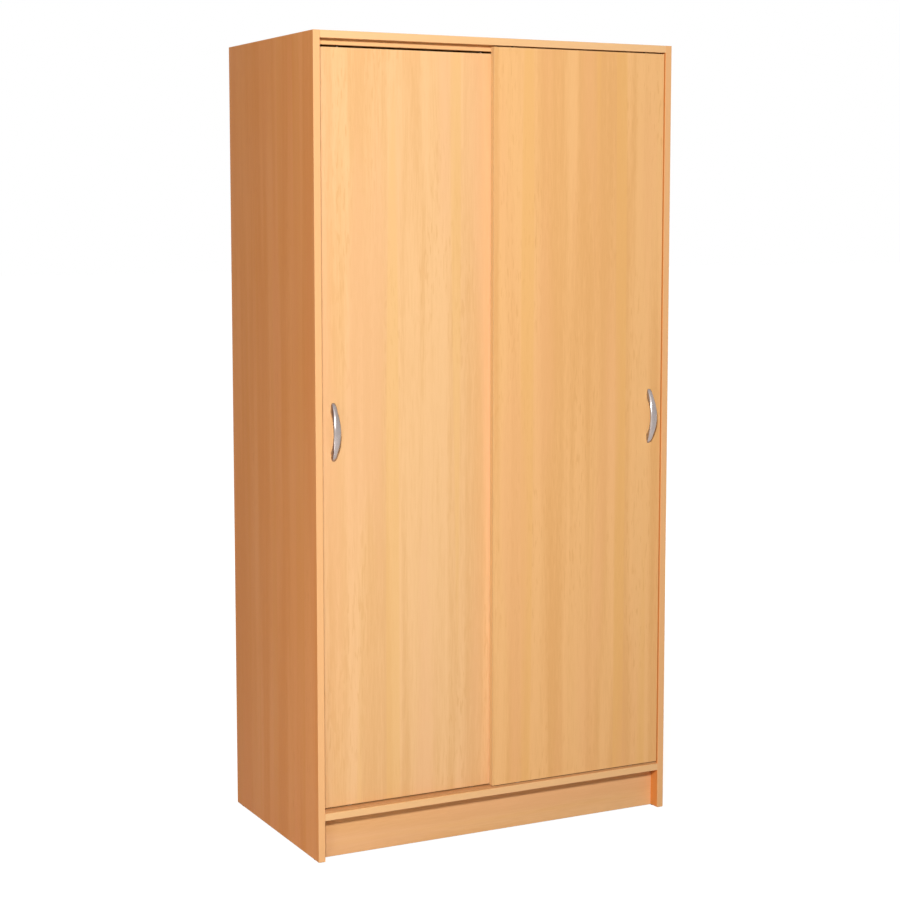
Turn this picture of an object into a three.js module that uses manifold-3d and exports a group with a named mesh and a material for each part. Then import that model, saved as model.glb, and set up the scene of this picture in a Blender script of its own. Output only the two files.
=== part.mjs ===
import * as THREE from 'three';
import { mergeVertices } from 'three/addons/utils/BufferGeometryUtils.js';
import Module from 'manifold-3d';

// Wardrobe in beech-effect board with two full-height doors that slide past each other.
// Lengths are millimetres, +Z is up and the doors face -Y. The origin is on the floor, under the
// middle of the box that holds the wardrobe with its handles.

const wasm = await Module();
wasm.setup();

// Driving dimensions of the carcass
const width = 900;
const depth = 500;
const height = 1810;
const boardThickness = 16;
const doorThickness = 15;
const backThickness = 3;
const baseHeight = 95;
const plinthSetback = 28;
const rearPlinthSetback = 20;
const shelfDrop = 260;
const shelfFrontSetback = 52;
const shelfBackGap = 2;
const backRebateDepth = 5;
const backRebateWidth = 8;
const backMargin = 1;

// Edges and clearances
const boardEdge = 0.6;
const jointGap = 0.3;
const runningGap = 0.3;
const overrun = 2;

// Doors: how they hang in the carcass and pass each other
const frontDoorInset = 3;
const doorGap = 5;
const doorSideGap = 2;
const doorOverlap = 30;
const doorBottomGap = 5.5;
const frontDoorTopGap = 3;
const rearDoorTopGap = 17;

// Bottom track and the guide grooves above the doors
const trackHeight = 3;
const trackFloor = 0.8;
const trackWall = 1.5;
const trackLip = 0.4;
const grooveWidth = 8;
const topGrooveDepth = 8;
const battenHeight = 12;
const battenFrontSetback = 20.5;
const battenDepth = 24;
const battenGrooveDepth = 7;

// Bow handles
const handleLength = 127;
const handleProjection = 26;
const handleEndThickness = 3.6;
const handleMiddleThickness = 7.4;
const handleMiddleWidth = 17.4;
const handleEndWidth = 10.4;
const handleNoseLength = 9;
const handleScrewSpacing = 104;
const fingerGapLength = 88;
const handleHeight = 952;
const handleEdgeDistance = 33;

// Handle screws, driven from the back of the door
const screwRadius = 2;
const screwHeadRadius = 4;
const screwHeadHeight = 2.2;
const screwReach = 4.4;

// Rollers let into the bottom edge of each door
const wheelRadius = 9;
const wheelWidth = 4.6;
const wheelHubRadius = 3.6;
const wheelWebWidth = 2.4;
const wheelRimDepth = 2.2;
const wheelTreadWidth = 2.4;
const wheelSideGap = 0.5;
const wheelTipGap = 0.7;
const axleRadius = 1.5;
const rollerInset = 70;
const rollerBodyLength = 38;
const rollerBodyHeight = 17.4;
const rollerCheek = 1.8;
const rollerFlangeLength = 56;
const rollerFlangeWidth = 11;
const rollerFlangeThickness = 1.6;
const rollerScrewRadius = 1.6;
const rollerScrewSpacing = 46;

// Sprung guide pins let into the top edge of each door
const guideInset = 50;
const guideRadius = 4.7;
const guideLength = 27;
const guideFloor = 3;
const guideBoreRadius = 3.8;
const guideMouthRadius = 2.8;
const guideMouthLength = 1.7;
const guideFlangeRadius = 6;
const guideFlangeThickness = 1.2;
const pinRadius = 2.5;
const pinRise = 9.5;
const pinTip = 1.2;
const pinCollarRadius = 3.4;
const pinCollarLength = 2;

// Cam locks let into the undersides of the top, the shelf and the base
const camRadius = 7.5;
const camLength = 12;
const camRim = 0.8;
const camEndDistance = 34;
const camSideDistance = 60;
const camSlotLength = 9;
const camSlotWidth = 1.8;
const camSlotDepth = 2;

// Hanging rail and its sockets
const railWidth = 15;
const railHeight = 30;
const railWall = 1.2;
const railDrop = 45;
const socketPlate = 3;
const socketDepth = 12;
const socketWall = 2.4;
const socketPlateHeight = 64;
const socketPlateWidth = 24;
const socketScrewRadius = 2.2;
const socketScrewSpacing = 50;

// Strip that joins the two halves of the back
const stripWidth = 14;
const stripFlange = 1.2;
const stripWeb = 1.4;

// Floor glides under the side panels
const glideHeight = 3;
const glideRadius = 7;
const glideFootRadius = 5;
const glideEndDistance = 30;

// Faceting of round pieces
const wheelSegments = 20;
const roundSegments = 14;
const arcSegments = 6;
const bevelSegments = 2;
const handleStations = 24;
const handleSides = 16;

// Shares that shape the handle's rounded section and its blunt noses
const frontRoundShare = 0.95;
const bridgeRoundShare = 0.9;
const footRoundShare = 0.3;
const noseTipShare = 0.4;

// Places worked out from the dimensions above
const innerWidth = width - 2 * boardThickness;
const panelLength = innerWidth - 2 * jointGap;
const innerFloor = baseHeight + boardThickness;
const innerCeiling = height - boardThickness;
const backLine = depth - backRebateDepth;
const shelfLevel = innerCeiling - shelfDrop - boardThickness / 2;
const shelfDepth = backLine - shelfBackGap - shelfFrontSetback;
const shelfMiddle = shelfFrontSetback + shelfDepth / 2;
const frontDoorLine = frontDoorInset + doorThickness / 2;
const rearDoorLine = frontDoorLine + doorThickness + doorGap;
const doorWidth = (innerWidth - 2 * doorSideGap + doorOverlap) / 2;
const doorFoot = innerFloor + doorBottomGap;
const wheelLevel = innerFloor + jointGap + trackFloor + runningGap + wheelRadius - doorFoot;
const rollerBodyWidth = wheelWidth + 2 * wheelSideGap + 2 * rollerCheek;
const handleOverhang = handleProjection - frontDoorInset;

// Finishes
const beech = new THREE.MeshStandardMaterial({ color: 0xe6b47c, roughness: 0.5, metalness: 0 });
const hardboard = new THREE.MeshStandardMaterial({ color: 0xd9b48a, roughness: 0.7, metalness: 0 });
const tanPlastic = new THREE.MeshStandardMaterial({ color: 0xcf9a62, roughness: 0.45, metalness: 0 });
const whitePlastic = new THREE.MeshStandardMaterial({ color: 0xe9e6df, roughness: 0.4, metalness: 0 });
const brownPlastic = new THREE.MeshStandardMaterial({ color: 0x5a3c26, roughness: 0.5, metalness: 0 });
const satinNickel = new THREE.MeshStandardMaterial({ color: 0xb9b2a9, roughness: 0.35, metalness: 1 });
const zinc = new THREE.MeshStandardMaterial({ color: 0xa9abad, roughness: 0.45, metalness: 1 });
const chrome = new THREE.MeshStandardMaterial({ color: 0xd2d4d6, roughness: 0.12, metalness: 1 });

// Turns a closed geometry into a solid that can be cut and joined.
function solidOf(geometry) {
  const bare = geometry.clone();
  bare.deleteAttribute('normal');
  bare.deleteAttribute('uv');
  const merged = mergeVertices(bare, boardEdge / 1000);
  const mesh = new wasm.Mesh({
    numProp: 3,
    vertProperties: new Float32Array(merged.attributes.position.array),
    triVerts: new Uint32Array(merged.index.array),
  });
  return new wasm.Manifold(mesh);
}

// Turns a solid back into a geometry with one normal for each facet.
function geometryOf(solid) {
  const mesh = solid.getMesh();
  const indexed = new THREE.BufferGeometry();
  indexed.setAttribute('position', new THREE.BufferAttribute(mesh.vertProperties, mesh.numProp));
  indexed.setIndex(new THREE.BufferAttribute(mesh.triVerts, 1));
  const geometry = indexed.toNonIndexed();
  geometry.computeVertexNormals();
  return geometry;
}

// Takes the cutters away from a geometry.
function cut(geometry, cutters) {
  let solid = solidOf(geometry);
  for (const cutter of cutters) {
    solid = solid.subtract(solidOf(cutter));
  }
  return geometryOf(solid);
}

// Joins two geometries that overlap.
function join(geometry, other) {
  return geometryOf(solidOf(geometry).add(solidOf(other)));
}

// A board lying flat, centred on the origin, with its face edges slightly rounded.
function board(length, breadth, thickness) {
  const outline = new THREE.Shape();
  outline.moveTo(-length / 2, -breadth / 2);
  outline.lineTo(length / 2, -breadth / 2);
  outline.lineTo(length / 2, breadth / 2);
  outline.lineTo(-length / 2, breadth / 2);
  outline.closePath();
  const geometry = new THREE.ExtrudeGeometry(outline, {
    depth: thickness - 2 * boardEdge,
    bevelThickness: boardEdge,
    bevelSize: boardEdge,
    bevelOffset: -boardEdge,
    bevelSegments,
  });
  geometry.translate(0, 0, boardEdge - thickness / 2);
  return geometry;
}

// A board standing with its faces to front and back.
function facingBoard(length, tall, thickness) {
  return board(length, tall, thickness).rotateX(Math.PI / 2);
}

// A board standing with its faces to left and right.
function sideBoard(length, tall, thickness) {
  return facingBoard(length, tall, thickness).rotateZ(Math.PI / 2);
}

// A block between two corners.
function block(low, high) {
  const size = new THREE.Vector3().subVectors(high, low);
  const middle = new THREE.Vector3().addVectors(high, low).multiplyScalar(0.5);
  return new THREE.BoxGeometry(size.x, size.y, size.z).translate(middle.x, middle.y, middle.z);
}

// A round solid about +Z from a profile of [radius, level] points that starts and ends on the axis.
function turned(profile, segments) {
  const points = profile.map(([radius, level]) => new THREE.Vector2(radius, level));
  return new THREE.LatheGeometry(points, segments).rotateX(Math.PI / 2);
}

// A plain rod about +Z between two levels.
function rod(radius, low, high, segments) {
  return turned([[0, low], [radius, low], [radius, high], [0, high]], segments);
}

// An outline with straight sides and half-round ends, longest along its own X.
function slotOutline(length, breadth, Kind) {
  const outline = new Kind();
  const reach = (length - breadth) / 2;
  outline.absarc(reach, 0, breadth / 2, -Math.PI / 2, Math.PI / 2, false);
  outline.absarc(-reach, 0, breadth / 2, Math.PI / 2, 1.5 * Math.PI, false);
  outline.closePath();
  return outline;
}

// A block with half-round ends, standing on the level low.
function slotBlock(length, breadth, low, high) {
  const outline = slotOutline(length, breadth, THREE.Shape);
  const settings = { depth: high - low, bevelEnabled: false, curveSegments: arcSegments };
  return new THREE.ExtrudeGeometry(outline, settings).translate(0, 0, low);
}

// Adds one named piece to a group.
function place(group, name, geometry, material, x, y, z) {
  const mesh = new THREE.Mesh(geometry, material);
  mesh.name = name;
  mesh.position.set(x, y, z);
  group.add(mesh);
}

// A cam lock, with its driver cross on the underside.
function camLock() {
  const body = turned([
    [0, 0],
    [camRadius - camRim, 0],
    [camRadius, camRim],
    [camRadius, camLength],
    [0, camLength],
  ], roundSegments);
  const long = camSlotLength / 2;
  const short = camSlotWidth / 2;
  return cut(body, [
    block(new THREE.Vector3(-long, -short, -overrun), new THREE.Vector3(long, short, camSlotDepth)),
    block(new THREE.Vector3(-short, -long, -overrun), new THREE.Vector3(short, long, camSlotDepth)),
  ]);
}

// A level panel between the sides, held by a cam lock at each corner of its underside.
function cammedPanel(group, name, panelDepth, middle, level, cutters) {
  const holes = [];
  for (const [end, sideX] of [['left', -1], ['right', 1]]) {
    for (const [edge, sideY] of [['front', -1], ['rear', 1]]) {
      const x = sideX * (panelLength / 2 - camEndDistance);
      const y = sideY * (panelDepth / 2 - camSideDistance);
      const low = -boardThickness / 2;
      const hole = rod(camRadius + jointGap, low - overrun, low + camLength + 2 * jointGap, roundSegments);
      holes.push(hole.translate(x, y, 0));
      place(group, `${name}_cam_${edge}_${end}`, camLock(), zinc, x, middle + y, level + low + jointGap);
    }
  }
  const panel = cut(board(panelLength, panelDepth, boardThickness), [...holes, ...cutters]);
  place(group, `${name}_panel`, panel, beech, 0, middle, level);
}

// The side panels, with a rebate along the rear inner edge for the back.
function addSides(group) {
  const tall = height - glideHeight;
  for (const [name, side] of [['left', -1], ['right', 1]]) {
    const inner = -side * boardThickness / 2;
    const rebate = block(
      new THREE.Vector3(Math.min(inner, inner + side * backRebateWidth) - (side > 0 ? overrun : 0),
        backLine - depth / 2, -tall),
      new THREE.Vector3(Math.max(inner, inner + side * backRebateWidth) + (side < 0 ? overrun : 0),
        depth / 2 + overrun, tall),
    );
    const panel = cut(sideBoard(depth, tall, boardThickness), [rebate]);
    const x = side * (width - boardThickness) / 2;
    place(group, `${name}_side_panel`, panel, beech, x, depth / 2, glideHeight + tall / 2);
    for (const [edge, y] of [['front', glideEndDistance], ['rear', depth - glideEndDistance]]) {
      const glide = turned([
        [0, 0],
        [glideFootRadius, 0],
        [glideRadius, glideRadius - glideFootRadius],
        [glideRadius, glideHeight - jointGap],
        [0, glideHeight - jointGap],
      ], roundSegments);
      place(group, `floor_glide_${edge}_${name}`, glide, brownPlastic, x, y, 0);
    }
  }
}

// Top, shelf, base and the two plinths.
function addPanels(group) {
  const middle = backLine / 2;
  const topGroove = block(
    new THREE.Vector3(-width, frontDoorLine - grooveWidth / 2 - middle, -boardThickness),
    new THREE.Vector3(width, frontDoorLine + grooveWidth / 2 - middle, topGrooveDepth - boardThickness / 2),
  );
  cammedPanel(group, 'top', backLine, middle, height - boardThickness / 2, [topGroove]);
  cammedPanel(group, 'shelf', shelfDepth, shelfMiddle, shelfLevel, []);
  cammedPanel(group, 'base', backLine, middle, baseHeight + boardThickness / 2, []);
  const plinthHeight = baseHeight - jointGap - glideHeight;
  const plinthLevel = glideHeight + plinthHeight / 2;
  const rearPlinth = depth - rearPlinthSetback - boardThickness / 2;
  const plinth = facingBoard(panelLength, plinthHeight, boardThickness);
  place(group, 'plinth', plinth, beech, 0, plinthSetback + boardThickness / 2, plinthLevel);
  place(group, 'rear_plinth', plinth.clone(), beech, 0, rearPlinth, plinthLevel);
}

// The back: two halves that meet in an H-shaped strip.
function addBack(group) {
  const boardLine = backLine + jointGap + backThickness / 2;
  const tall = height - baseHeight - 2 * backMargin;
  const outerEdge = innerWidth / 2 + backRebateWidth - jointGap;
  const innerEdge = stripWeb / 2 + jointGap;
  const half = outerEdge - innerEdge;
  for (const [name, side] of [['left', -1], ['right', 1]]) {
    const panel = new THREE.BoxGeometry(half, backThickness, tall);
    const x = side * (innerEdge + half / 2);
    place(group, `back_panel_${name}`, panel, hardboard, x, boardLine, baseHeight + backMargin + tall / 2);
  }
  const reach = stripWidth / 2;
  const waist = stripWeb / 2;
  const slot = backThickness / 2 + jointGap;
  const outer = slot + stripFlange;
  const outline = new THREE.Shape();
  outline.moveTo(-reach, -outer);
  for (const [x, y] of [
    [reach, -outer], [reach, -slot], [waist, -slot], [waist, slot], [reach, slot], [reach, outer],
    [-reach, outer], [-reach, slot], [-waist, slot], [-waist, -slot], [-reach, -slot],
  ]) {
    outline.lineTo(x, y);
  }
  outline.closePath();
  const long = innerCeiling - innerFloor - 2 * jointGap;
  const strip = new THREE.ExtrudeGeometry(outline, { depth: long, bevelEnabled: false });
  place(group, 'back_joint_strip', strip, whitePlastic, 0, boardLine, innerFloor + jointGap);
}

// The track that the rollers run in, and the grooved batten that guides the rear door.
function addTracks(group) {
  const low = innerFloor + jointGap;
  const front = frontDoorLine - grooveWidth / 2 - trackWall;
  const rear = rearDoorLine + grooveWidth / 2 + trackWall;
  const outline = new THREE.Shape();
  outline.moveTo(front, 0);
  outline.lineTo(rear, 0);
  outline.lineTo(rear, trackHeight - trackLip);
  outline.lineTo(rear - trackLip, trackHeight);
  for (const line of [rearDoorLine, frontDoorLine]) {
    outline.lineTo(line + grooveWidth / 2, trackHeight);
    outline.lineTo(line + grooveWidth / 2 - trackLip, trackFloor);
    outline.lineTo(line - grooveWidth / 2 + trackLip, trackFloor);
    outline.lineTo(line - grooveWidth / 2, trackHeight);
  }
  outline.lineTo(front + trackLip, trackHeight);
  outline.lineTo(front, trackHeight - trackLip);
  outline.closePath();
  const track = new THREE.ExtrudeGeometry(outline, { depth: panelLength, bevelEnabled: false });
  track.rotateX(Math.PI / 2).rotateZ(Math.PI / 2);
  place(group, 'bottom_track', track, tanPlastic, -panelLength / 2, 0, low);

  const groove = block(
    new THREE.Vector3(-width, rearDoorLine - grooveWidth / 2 - battenFrontSetback - battenDepth / 2,
      -battenHeight),
    new THREE.Vector3(width, rearDoorLine + grooveWidth / 2 - battenFrontSetback - battenDepth / 2,
      battenGrooveDepth - battenHeight / 2),
  );
  const batten = cut(board(panelLength, battenDepth, battenHeight), [groove]);
  place(group, 'top_guide_batten', batten, beech, 0, battenFrontSetback + battenDepth / 2,
    innerCeiling - jointGap - battenHeight / 2);
}

// The oval hanging rail under the shelf, in a socket at each end.
function addRail(group) {
  const level = shelfLevel - boardThickness / 2 - railDrop;
  const pocketLength = railHeight + 2 * jointGap;
  const pocketWidth = railWidth + 2 * jointGap;
  const length = innerWidth - 2 * (jointGap + socketPlate + jointGap);
  const tube = slotOutline(railHeight, railWidth, THREE.Shape);
  tube.holes.push(slotOutline(railHeight - 2 * railWall, railWidth - 2 * railWall, THREE.Path));
  const settings = { depth: length, bevelEnabled: false, curveSegments: arcSegments };
  const rail = new THREE.ExtrudeGeometry(tube, settings).rotateY(Math.PI / 2);
  place(group, 'hanging_rail', rail, chrome, -length / 2, shelfMiddle, level);
  for (const [name, side] of [['left', -1], ['right', 1]]) {
    const plate = slotBlock(socketPlateHeight, socketPlateWidth, 0, socketPlate);
    const cup = slotBlock(pocketLength + 2 * socketWall, pocketWidth + 2 * socketWall, 0, socketDepth);
    const cutters = [slotBlock(pocketLength, pocketWidth, socketPlate, socketDepth + overrun)];
    for (const end of [-1, 1]) {
      const hole = rod(socketScrewRadius, -overrun, socketPlate + overrun, roundSegments);
      cutters.push(hole.translate(end * socketScrewSpacing / 2, 0, 0));
    }
    const socket = cut(join(plate, cup), cutters).rotateY(-side * Math.PI / 2);
    place(group, `rail_socket_${name}`, socket, zinc, side * (innerWidth / 2 - jointGap), shelfMiddle, level);
  }
}

// Distance of a circular arc from its chord, at a place along the chord.
function arcRise(place, chord, sagitta) {
  const radius = (chord * chord / 4 + sagitta * sagitta) / (2 * sagitta);
  return Math.sqrt(Math.max(radius * radius - place * place, 0)) - radius + sagitta;
}

// Share of its full size that the handle has at a level, for the rounding of its noses.
function noseShare(level) {
  const past = Math.max(0, 1 - (handleLength / 2 - Math.abs(level)) / handleNoseLength);
  return noseTipShare + (1 - noseTipShare) * Math.sqrt(1 - past ** 2);
}

// One section of the handle at a level: wide and slim in the middle, deep and flat-backed over the feet.
function handleSection(level) {
  const share = 1 - (2 * level / handleLength) ** 2;
  const full = handleEndWidth + (handleMiddleWidth - handleEndWidth) * share;
  const half = full / 2 * noseShare(level);
  const rise = handleEndThickness + arcRise(level, handleLength, handleProjection - handleEndThickness);
  const fingerRise = handleProjection - handleMiddleThickness;
  const inBridge = Math.abs(level) < fingerGapLength / 2;
  const under = inBridge ? Math.max(jointGap, arcRise(level, fingerGapLength, fingerRise)) : jointGap;
  const crest = under + (rise - under) * noseShare(level);
  const lift = (under - jointGap) / (fingerRise - jointGap);
  const backRoundShare = footRoundShare + (bridgeRoundShare - footRoundShare) * lift;
  const middle = (crest + under) / 2;
  const points = [];
  for (let i = 0; i < handleSides; i++) {
    const turn = 2 * Math.PI * i / handleSides;
    const across = Math.cos(turn);
    const out = Math.sin(turn);
    const round = out > 0 ? frontRoundShare : backRoundShare;
    const x = half * Math.sign(across) * Math.abs(across) ** round;
    const y = middle + (crest - under) / 2 * Math.sign(out) * Math.abs(out) ** round;
    points.push([x, -y, level]);
  }
  return points;
}

// The bow handle: sections lofted from end to end, with a blind hole for the screw in each foot.
function bowHandle() {
  const vertices = [];
  const faces = [];
  for (let i = 0; i <= handleStations; i++) {
    const level = -Math.cos(Math.PI * i / handleStations) * handleLength / 2;
    vertices.push(...handleSection(level).flat());
  }
  for (let i = 0; i < handleStations; i++) {
    for (let j = 0; j < handleSides; j++) {
      const a = i * handleSides + j;
      const b = i * handleSides + (j + 1) % handleSides;
      faces.push(a, a + handleSides, b, b, a + handleSides, b + handleSides);
    }
  }
  for (let j = 1; j < handleSides - 1; j++) {
    const last = handleStations * handleSides;
    faces.push(0, j, j + 1, last, last + j + 1, last + j);
  }
  const loft = new THREE.BufferGeometry();
  loft.setAttribute('position', new THREE.Float32BufferAttribute(vertices, 3));
  loft.setIndex(faces);
  const holes = [-1, 1].map((end) => {
    const hole = rod(screwRadius + jointGap, -overrun, screwReach + jointGap, roundSegments);
    return hole.rotateX(Math.PI / 2).translate(0, 0, end * handleScrewSpacing / 2);
  });
  return cut(loft, holes);
}

// A pan-head screw that points along -Y, with its head seated at the origin.
function handleScrew() {
  const reach = doorThickness + screwReach;
  return turned([
    [0, -screwHeadHeight],
    [screwHeadRadius / 2, -screwHeadHeight],
    [screwHeadRadius, -screwHeadHeight / 2],
    [screwHeadRadius, 0],
    [screwRadius, 0],
    [screwRadius, reach],
    [0, reach],
  ], roundSegments).rotateX(Math.PI / 2);
}

// A roller wheel about +Y: hub, thin web and crowned rim round an open bore.
function rollerWheel() {
  const bore = axleRadius + runningGap;
  const rim = wheelRadius - wheelRimDepth;
  const half = wheelWidth / 2;
  const web = wheelWebWidth / 2;
  const tread = wheelTreadWidth / 2;
  const shoulder = wheelRadius - (half - tread);
  const points = [
    [bore, -half], [wheelHubRadius, -half], [wheelHubRadius, -web], [rim, -web], [rim, -half],
    [shoulder, -half], [wheelRadius, -tread], [wheelRadius, tread], [shoulder, half],
    [rim, half], [rim, web], [wheelHubRadius, web], [wheelHubRadius, half], [bore, half], [bore, -half],
  ];
  const outline = points.map(([radius, level]) => new THREE.Vector2(radius, level));
  return new THREE.LatheGeometry(outline, wheelSegments);
}

// The roller's housing: a flanged body with a well for the wheel and a hole for its axle.
function rollerHousing() {
  const flange = slotBlock(rollerFlangeLength, rollerFlangeWidth, 0, rollerFlangeThickness);
  const body = slotBlock(rollerBodyLength, rollerBodyWidth, 0, rollerBodyHeight);
  const wellReach = wheelRadius + wheelTipGap;
  const wellHalf = wheelWidth / 2 + wheelSideGap;
  const well = block(
    new THREE.Vector3(-wellReach, -wellHalf, -overrun),
    new THREE.Vector3(wellReach, wellHalf, wheelLevel + wellReach),
  );
  const axleHole = rod(axleRadius + jointGap, -doorThickness, doorThickness, roundSegments)
    .rotateX(Math.PI / 2)
    .translate(0, 0, wheelLevel);
  const screwHoles = [-1, 1].map((end) => {
    const hole = rod(rollerScrewRadius, -overrun, rollerFlangeThickness + overrun, roundSegments);
    return hole.translate(end * rollerScrewSpacing / 2, 0, 0);
  });
  return cut(join(flange, body), [well, axleHole, ...screwHoles]);
}

// The guide pin's housing, with the level of the door's top edge at its origin.
function guideHousing() {
  return turned([
    [0, -guideLength],
    [guideRadius, -guideLength],
    [guideRadius, -guideFlangeThickness],
    [guideFlangeRadius, -guideFlangeThickness],
    [guideFlangeRadius, 0],
    [guideMouthRadius, 0],
    [guideMouthRadius, -guideMouthLength],
    [guideBoreRadius, -guideMouthLength],
    [guideBoreRadius, guideFloor - guideLength],
    [0, guideFloor - guideLength],
  ], roundSegments);
}

// The sprung guide pin: a round-tipped stem on a collar that the housing's mouth holds in.
function guidePin() {
  const collarTop = -guideMouthLength - runningGap;
  return turned([
    [0, collarTop - pinCollarLength],
    [pinCollarRadius, collarTop - pinCollarLength],
    [pinCollarRadius, collarTop],
    [pinRadius, collarTop],
    [pinRadius, pinRise - pinTip],
    [pinRadius - pinTip, pinRise],
    [0, pinRise],
  ], roundSegments);
}

// A door with its handle, rollers and guide pins, about the middle of its bottom edge.
function slidingDoor(name, side, tall) {
  const door = new THREE.Group();
  const cutters = [];
  const handleX = side * (doorWidth / 2 - handleEdgeDistance);
  const handleLevel = handleHeight - doorFoot;
  const back = doorThickness / 2;
  place(door, `${name}_handle`, bowHandle(), satinNickel, handleX, -back, handleLevel);
  for (const [end, sign] of [['lower', -1], ['upper', 1]]) {
    const level = handleLevel + sign * handleScrewSpacing / 2;
    const hole = rod(screwRadius + jointGap, -doorThickness, doorThickness, roundSegments);
    cutters.push(hole.rotateX(Math.PI / 2).translate(handleX, 0, level));
    place(door, `${name}_handle_screw_${end}`, handleScrew(), zinc, handleX, back + jointGap, level);
  }
  for (const [end, sign] of [['outer', side], ['inner', -side]]) {
    const rollerX = sign * (doorWidth / 2 - rollerInset);
    const body = slotBlock(rollerBodyLength + 2 * jointGap, rollerBodyWidth + 2 * jointGap, -overrun,
      rollerBodyHeight + jointGap);
    const flange = slotBlock(rollerFlangeLength + 2 * jointGap, rollerFlangeWidth + 2 * jointGap,
      -overrun, rollerFlangeThickness + jointGap);
    cutters.push(body.translate(rollerX, 0, 0), flange.translate(rollerX, 0, 0));
    place(door, `${name}_roller_housing_${end}`, rollerHousing(), whitePlastic, rollerX, 0, 0);
    const axleHalf = rollerBodyWidth / 2;
    const axle = rod(axleRadius, -axleHalf, axleHalf, roundSegments).rotateX(Math.PI / 2);
    place(door, `${name}_roller_axle_${end}`, axle, zinc, rollerX, 0, wheelLevel);
    place(door, `${name}_roller_wheel_${end}`, rollerWheel(), whitePlastic, rollerX, 0, wheelLevel);

    const guideX = sign * (doorWidth / 2 - guideInset);
    const bore = rod(guideRadius + jointGap, -guideLength - jointGap, overrun, roundSegments);
    const seat = rod(guideFlangeRadius + jointGap, -guideFlangeThickness - jointGap, overrun, roundSegments);
    cutters.push(bore.translate(guideX, 0, tall), seat.translate(guideX, 0, tall));
    place(door, `${name}_guide_housing_${end}`, guideHousing(), brownPlastic, guideX, 0, tall);
    place(door, `${name}_guide_pin_${end}`, guidePin(), brownPlastic, guideX, 0, tall);
  }
  const panel = facingBoard(doorWidth, tall, doorThickness).translate(0, 0, tall / 2);
  place(door, `${name}_door_panel`, cut(panel, cutters), beech, 0, 0, 0);
  return door;
}

const carcass = new THREE.Group();
addSides(carcass);
addPanels(carcass);
addBack(carcass);
addTracks(carcass);
addRail(carcass);

const doorMiddle = (innerWidth - doorWidth) / 2 - doorSideGap;
const leftDoor = slidingDoor('left', -1, innerCeiling - rearDoorTopGap - doorFoot);
leftDoor.position.set(-doorMiddle, rearDoorLine, doorFoot);
const rightDoor = slidingDoor('right', 1, innerCeiling - frontDoorTopGap - doorFoot);
rightDoor.position.set(doorMiddle, frontDoorLine, doorFoot);

const wardrobe = new THREE.Group();
wardrobe.add(carcass, leftDoor, rightDoor);
wardrobe.position.set(0, (handleOverhang - depth) / 2, 0);

export default wardrobe;
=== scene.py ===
"""Studio picture of a tall wardrobe in beech-effect board with two doors that slide past each other.

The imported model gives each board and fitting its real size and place, in metres, with +Z up and the
doors facing -Y. The boards stay as they are and get their beech foil. The bowed, round and pressed
fittings are modelled finely in the space that their solids hold.
"""

import logging
import math
from collections.abc import Callable, Iterable, Iterator, Sequence
from dataclasses import dataclass
from enum import Enum

import bmesh
import bpy
from bmesh.types import BMEdge, BMesh, BMVert
from bpy.types import Material, NodeOutputs, NodeSocket, NodeTree
from mathutils import Matrix, Vector


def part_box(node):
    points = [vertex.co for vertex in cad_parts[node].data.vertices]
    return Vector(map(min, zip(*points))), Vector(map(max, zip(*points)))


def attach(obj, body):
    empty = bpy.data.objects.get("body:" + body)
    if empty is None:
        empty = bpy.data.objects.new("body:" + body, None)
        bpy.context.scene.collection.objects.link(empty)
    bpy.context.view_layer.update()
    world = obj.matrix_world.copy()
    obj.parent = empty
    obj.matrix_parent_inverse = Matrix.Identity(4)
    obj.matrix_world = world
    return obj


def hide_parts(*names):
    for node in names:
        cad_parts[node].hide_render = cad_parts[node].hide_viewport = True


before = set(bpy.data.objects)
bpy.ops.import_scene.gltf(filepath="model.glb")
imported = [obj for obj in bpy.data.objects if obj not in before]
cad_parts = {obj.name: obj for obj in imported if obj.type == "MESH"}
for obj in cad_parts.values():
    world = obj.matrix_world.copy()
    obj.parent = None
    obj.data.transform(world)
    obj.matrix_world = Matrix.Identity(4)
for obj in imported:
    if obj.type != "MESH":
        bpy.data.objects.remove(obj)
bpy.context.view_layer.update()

FAR = 10.0
MERGE = 1e-7
FULL_TURN = 2 * math.pi
SHARP_ABOVE = math.radians(32.0)
SOFTEN_ABOVE = math.radians(30.0)
SOFTEN_STEPS = 2
NEARLY_LEVEL = 0.9
TO_REAR = Matrix.Rotation(-math.pi / 2, 4, "X")
TO_RIGHT = Matrix.Rotation(math.pi / 2, 4, "Y")
TO_LEFT = Matrix.Rotation(-math.pi / 2, 4, "Y")
CARCASS = "carcass"

log = logging.getLogger("wardrobe")

Colour = tuple[float, float, float, float]
Triple = tuple[float, float, float]
Pair = tuple[float, float]
Value = float | Sequence[float] | NodeSocket

WHITE: Colour = (1.0, 1.0, 1.0, 1.0)


class Grain(Enum):
    """The way the grain runs on a board, as the turn that brings it upright."""

    UPRIGHT = (0.0, 0.0, 0.0)
    ACROSS = (0.0, -math.pi / 2, 0.0)


class Side(Enum):
    """A side of a board's box, as the number of its axis and its sign."""

    LEFT = (0, -1)
    RIGHT = (0, 1)
    FRONT = (1, -1)
    REAR = (1, 1)
    FOOT = (2, -1)
    HEAD = (2, 1)


class Stance(Enum):
    """The way a fitting that is modelled upright stands in its box, as its turn about X."""

    UP = 0.0
    DOWN = math.pi
    LYING = -math.pi / 2


class Kind(Enum):
    """The kind of a group's socket, by Blender's name for it."""

    COLOUR = "NodeSocketColor"
    VECTOR = "NodeSocketVector"
    NUMBER = "NodeSocketFloat"


class Coat(Enum):
    """A finish that several pieces share, by the name of its material slot."""

    NICKEL = "satin_nickel"
    ZINC = "zinc_plate"
    CHROME = "chrome_rail"
    WHITE = "fitting_plastic"
    TAN = "track_plastic"
    BROWN = "glide_plastic"


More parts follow.
